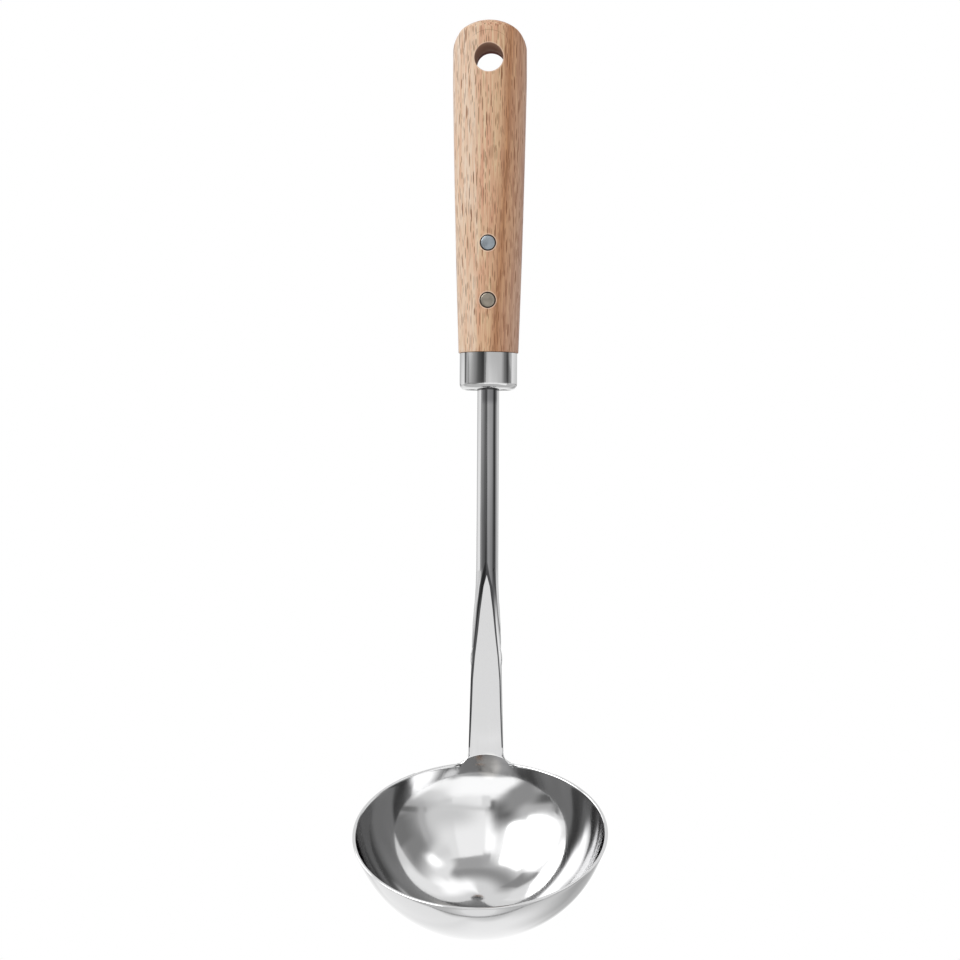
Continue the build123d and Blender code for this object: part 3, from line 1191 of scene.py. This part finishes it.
# Studio: what polished steel sees round it, as soft-edged panels in degrees. Azimuth 0 is behind the
# camera and positive to the right, each panel is laid over those before it, and its level is what one
# reflection shows: azimuth, half width, soft edge, elevation, half height, soft edge, slant, level.
# A scratch script fitted most of these figures to the brightness that the photo's bowl shows
studioPanels = {
    "ground": (0, 180, 0, -35.5, 44, 1, 0, 0.44),
    "below": (0, 180, 0, -90, 13, 9, 0, 0.7),
    "groundBehind": (170.4, 40.5, 27.5, -38.6, 34, 4.7, -0.07, 0.77),
    "groundShade": (144.5, 17.2, 11.5, -25.7, 19.2, 15.7, -0.07, 0.33),
    "horizonBehind": (180, 78, 6, -3.5, 1.6, 0.8, 0, 0.06),
    "ceiling": (0, 180, 0, 66.3, 29.7, 3.9, 0, 0.64),
    "ceilingRight": (68.6, 46.9, 15.7, 73.3, 11.5, 8.1, -0.18, 1.03),
    "greyBand": (-16, 75.6, 16.8, 66.1, 7.1, 6.7, -0.04, 0.26),
    "greyAboveFront": (7.9, 25.7, 4.8, 53.6, 6.1, 1, 0, 0.38),
    "greyCorner": (-81.1, 11.7, 2.1, 59.9, 9.7, 1, 0.43, 0.23),
    "farLeft": (-105.9, 14.3, 6.3, 44.1, 13.1, 4.1, -0.68, 2.58),
    "farLeftLow": (-98.8, 29.1, 2.9, -2, 7.7, 3.2, 0.04, 0.73),
    "leftLight": (-54.9, 21.5, 14, 28.3, 12.9, 14.2, -0.16, 5),
    "leftLightInner": (-43.7, 16.7, 4.1, 33.6, 19.4, 6.4, 0, 5),
    "strip": (-18, 6.5, 1.2, 40.8, 9.9, 10.2, 0.09, 0.9),
    "stripLight": (-8.3, 5.1, 4.5, 28.3, 17.2, 5.2, 0.15, 1.17),
    "frontGround": (12.9, 57, 3.2, -10, 12.2, 5.3, -0.29, 0.92),
    "frontGroundRight": (48.3, 15, 8.2, -4.6, 6.6, 5.5, 0.05, 0.68),
    "groundDip": (6.7, 25.6, 6.2, -24.2, 1.5, 1.9, 0.11, 0.28),
    "lowerLeft": (-40.2, 29.9, 7.9, -0.9, 15.2, 5.5, 0.5, 0.46),
    "horizonDark": (-62.1, 15.6, 12.4, -4.9, 5.5, 3.2, 0.09, 0.11),
    "horizonLeft": (-41, 32.8, 2.2, 3.6, 1.5, 3.5, 0.15, 0.42),
    "darkWedge": (-19.7, 10.8, 9.3, 8, 10, 7.7, 0.21, 0.11),
    "horizonShade": (-8.7, 3.3, 4.9, 2.7, 4.6, 2.3, 0.04, 0.1),
    "horizonLine": (-73.1, 3.6, 5.4, -1.5, 7.1, 1, -0.26, 0.13),
    "rightWall": (44.3, 32, 5.9, 31, 26.9, 3.1, 0.29, 0.74),
    "frontPanel": (13, 14.9, 1.3, 23.2, 27.5, 1, 0.1, 0.84),
    "strapLight": (-3, 3.8, 1, -0.8, 4.6, 1, 0.01, 0.69),
    "frontBand": (22.6, 27.2, 3, 5.1, 1.5, 2.6, -0.03, 0.55),
    "rightDark": (76.1, 23.6, 16.2, 24.3, 20.7, 10.3, 0.28, 0.21),
    "rightCore": (86.5, 12.9, 7.4, 16.6, 9.8, 2.4, 0.15, 0.16),
    "rightLow": (71.2, 17.7, 2.1, 3.3, 1.9, 1, -0.14, 0.14),
    "rightLamp": (63, 6.1, 8, 46.7, 4.1, 5.2, -0.1, 1.77),
    "farRight": (122.2, 27.9, 1.8, 23.3, 23, 7.8, 0.17, 0.62),
    "cloudLeft": (32.4, 24.4, 17.3, 11.1, 9.6, 9.1, 0.02, 0.57),
    "leftRim": (-112, 13.6, 5.4, 62.2, 6.8, 2.3, -0.09, 0.7),
    "rightRim": (108.4, 11, 5.5, 51.3, 14, 4.5, -0.01, 0.76),
    "rightGlow": (48.2, 10.3, 4.7, 42.9, 5.3, 4.9, 0.03, 0.64),
    "backLow": (159, 9.1, 6.9, -23.8, 8.3, 5.8, -0.21, 0.38),
    "leftBack": (-133.8, 21.6, 6.8, -45, 24.9, 3.2, 0.28, 0.73),
    "topGlow": (-6.5, 29.7, 8.2, -15.2, 7.3, 1, 0, 0.97),
    "cloudUpper": (55.4, 9.6, 5.3, -14.1, 5.3, 2.1, 0.49, 1),
    "wedgeTop": (-36.6, 16.9, 8.8, -7.6, 9.7, 3.7, 0.47, 0.25),
    "lowShade": (18, 20.8, 9.2, 56, 4.7, 1, -0.05, 0.33),
    "streak": (58.5, 3, 2.5, 15.6, 15.3, 6.9, -0.03, 0.4),
}
glowPanel = (118, 24, 12, 58, 8, 9, 0, 2.2)  # seen only in repeated reflections, below the strap
studio = {
    "base": 0.7,
    "steel": 0.6,  # what steel gives back of the light that it sees
    "repeated": 0.4,  # how much of that is left of what a mirror image in the bowl shows again
    "tableEdge": 0.2,  # runs parallel to X, this far forward for each unit down
    "tableEdgeWidth": 0.03,
    "tableEdgeLevel": 0.2,
    "matt": 0.98,  # what matt surfaces receive
    "mattRight": 0.45,  # how much of it is missing from the right
    "tableBelow": -20,  # degrees; the line is seen under this
    "panelEdge": 0.05,  # degrees; no panel's edge is sharper
    "steepest": 0.05,  # rays nearer to level than this meet the table as if at this slope
    "repeatedFrom": 1.5,  # bounces
    "mattFade": (0.9, 0),
}


# One panel laid over the light so far, from the ray's azimuth and elevation
def panelGroup():
    names = "Azimuth Elevation Over Middle Width Soft Height Tall Blur Slant Level"
    inputs = [(name, "Float") for name in names.split()]
    group, given, result = newGroup("studioPanel", inputs, (("Light", "Float"),))

    def inside(distance, reach, soft):
        full = subtract(reach, soft)
        gone = add(add(reach, soft), studio["panelEdge"])
        return fade(absolute(distance), full, gone)

    turn = subtract(given["Azimuth"], given["Middle"])
    turn = calculate("WRAP", turn, 180, -180)
    rise = subtract(given["Elevation"], given["Height"])
    rise = subtract(rise, multiply(turn, given["Slant"]))
    wide = inside(turn, given["Width"], given["Soft"])
    mask = multiply(wide, inside(rise, given["Tall"], given["Blur"]))
    change = multiply(subtract(given["Level"], given["Over"]), mask)
    group.links.new(add(given["Over"], change), result["Light"])
    return group


# What a ray sees once one panel is laid over the light so far
def layPanel(panel, azimuth, elevation, light, values):
    inputs = {"Azimuth": azimuth, "Elevation": elevation, "Over": light}
    inputs.update({len(inputs) + slot: value for slot, value in enumerate(values)})
    return useGroup(panel, inputs)["Light"]


def mixLevels(share, first, second):
    return addNode("Mix", {0: share, 2: first, 3: second}).outputs[0]


def buildStudio():
    world = bpy.data.worlds.new("studio")
    scene.world = world
    world.use_nodes = True
    tree = world.node_tree
    tree.nodes.clear()
    ray = split(addNode("TexCoord", {}, tree).outputs["Generated"])
    degree = 180 / pi
    toCamera = multiply(ray["Y"], -1)
    azimuth = multiply(calculate("ARCTAN2", ray["X"], toCamera), degree)
    elevation = multiply(calculate("ARCSINE", ray["Z"]), degree)
    panel = panelGroup()
    light = studio["base"]
    for values in studioPanels.values():
        light = layPanel(panel, azimuth, elevation, light, values)
    # the table's far edge, a straight dark line in what the bowl sees below it
    down = calculate("MAXIMUM", multiply(ray["Z"], -1), studio["steepest"])
    forward = subtract(calculate("DIVIDE", ray["Y"], down), studio["tableEdge"])
    line = fade(absolute(forward), 0, studio["tableEdgeWidth"])
    line = multiply(line, calculate("LESS_THAN", elevation, studio["tableBelow"]))
    change = multiply(line, subtract(studio["tableEdgeLevel"], light))
    light = calculate("DIVIDE", add(light, change), studio["steel"])

    path = addNode("LightPath", {}, tree).outputs
    again = calculate("GREATER_THAN", path["Glossy Depth"], studio["repeatedFrom"])
    glow = layPanel(panel, azimuth, elevation, light, glowPanel)
    light = mixLevels(again, light, multiply(glow, studio["repeated"]))
    dim = multiply(fade(ray["X"], *studio["mattFade"]), studio["mattRight"])
    matt = multiply(subtract(1, dim), studio["matt"])
    level = mixLevels(path["Is Glossy Ray"], matt, light)
    level = mixLevels(path["Is Camera Ray"], level, 1.0)
    background = addNode("Background", {"Color": (1, 1, 1, 1), "Strength": level})
    addNode("OutputWorld", {"Surface": background.outputs[0]})


floorPlan = {
    "sides": 96,
    "radius": 800,
    "plain": 350,  # it is plain to here, and fades into the white studio outside
    "faded": 776,
    "height": -620,
    "colour": (0.86, 0.86, 0.86),
    "roughness": 0.9,
}


def addFloor():
    bpy.ops.mesh.primitive_circle_add(
        vertices=floorPlan["sides"],
        radius=floorPlan["radius"] * mm,
        fill_type="NGON",
        location=(0, 0, floorPlan["height"] * mm),
    )
    floor = bpy.context.object
    floor.name = "floor"
    floor.visible_glossy = False  # the steel sees the studio's own ground instead
    material, shader, place = newMaterial("paleFloor")
    away = vectorMath("LENGTH", place)["Value"]
    white = subtract(1.0, fade(away, floorPlan["plain"], floorPlan["faded"]))
    toCamera = addNode("LightPath", {}, place.id_data).outputs["Is Camera Ray"]
    inputs = {
        "Base Color": mixColours(white, floorPlan["colour"], (0, 0, 0)),
        "Emission Strength": multiply(white, toCamera),
        "Emission Color": (1, 1, 1, 1),
        "Specular IOR Level": 0,
        "Roughness": floorPlan["roughness"],
    }
    feed(shader, inputs)
    dress(floor, material)


scene.view_settings.view_transform = "Standard"
buildStudio()
addFloor()
print("studio built")
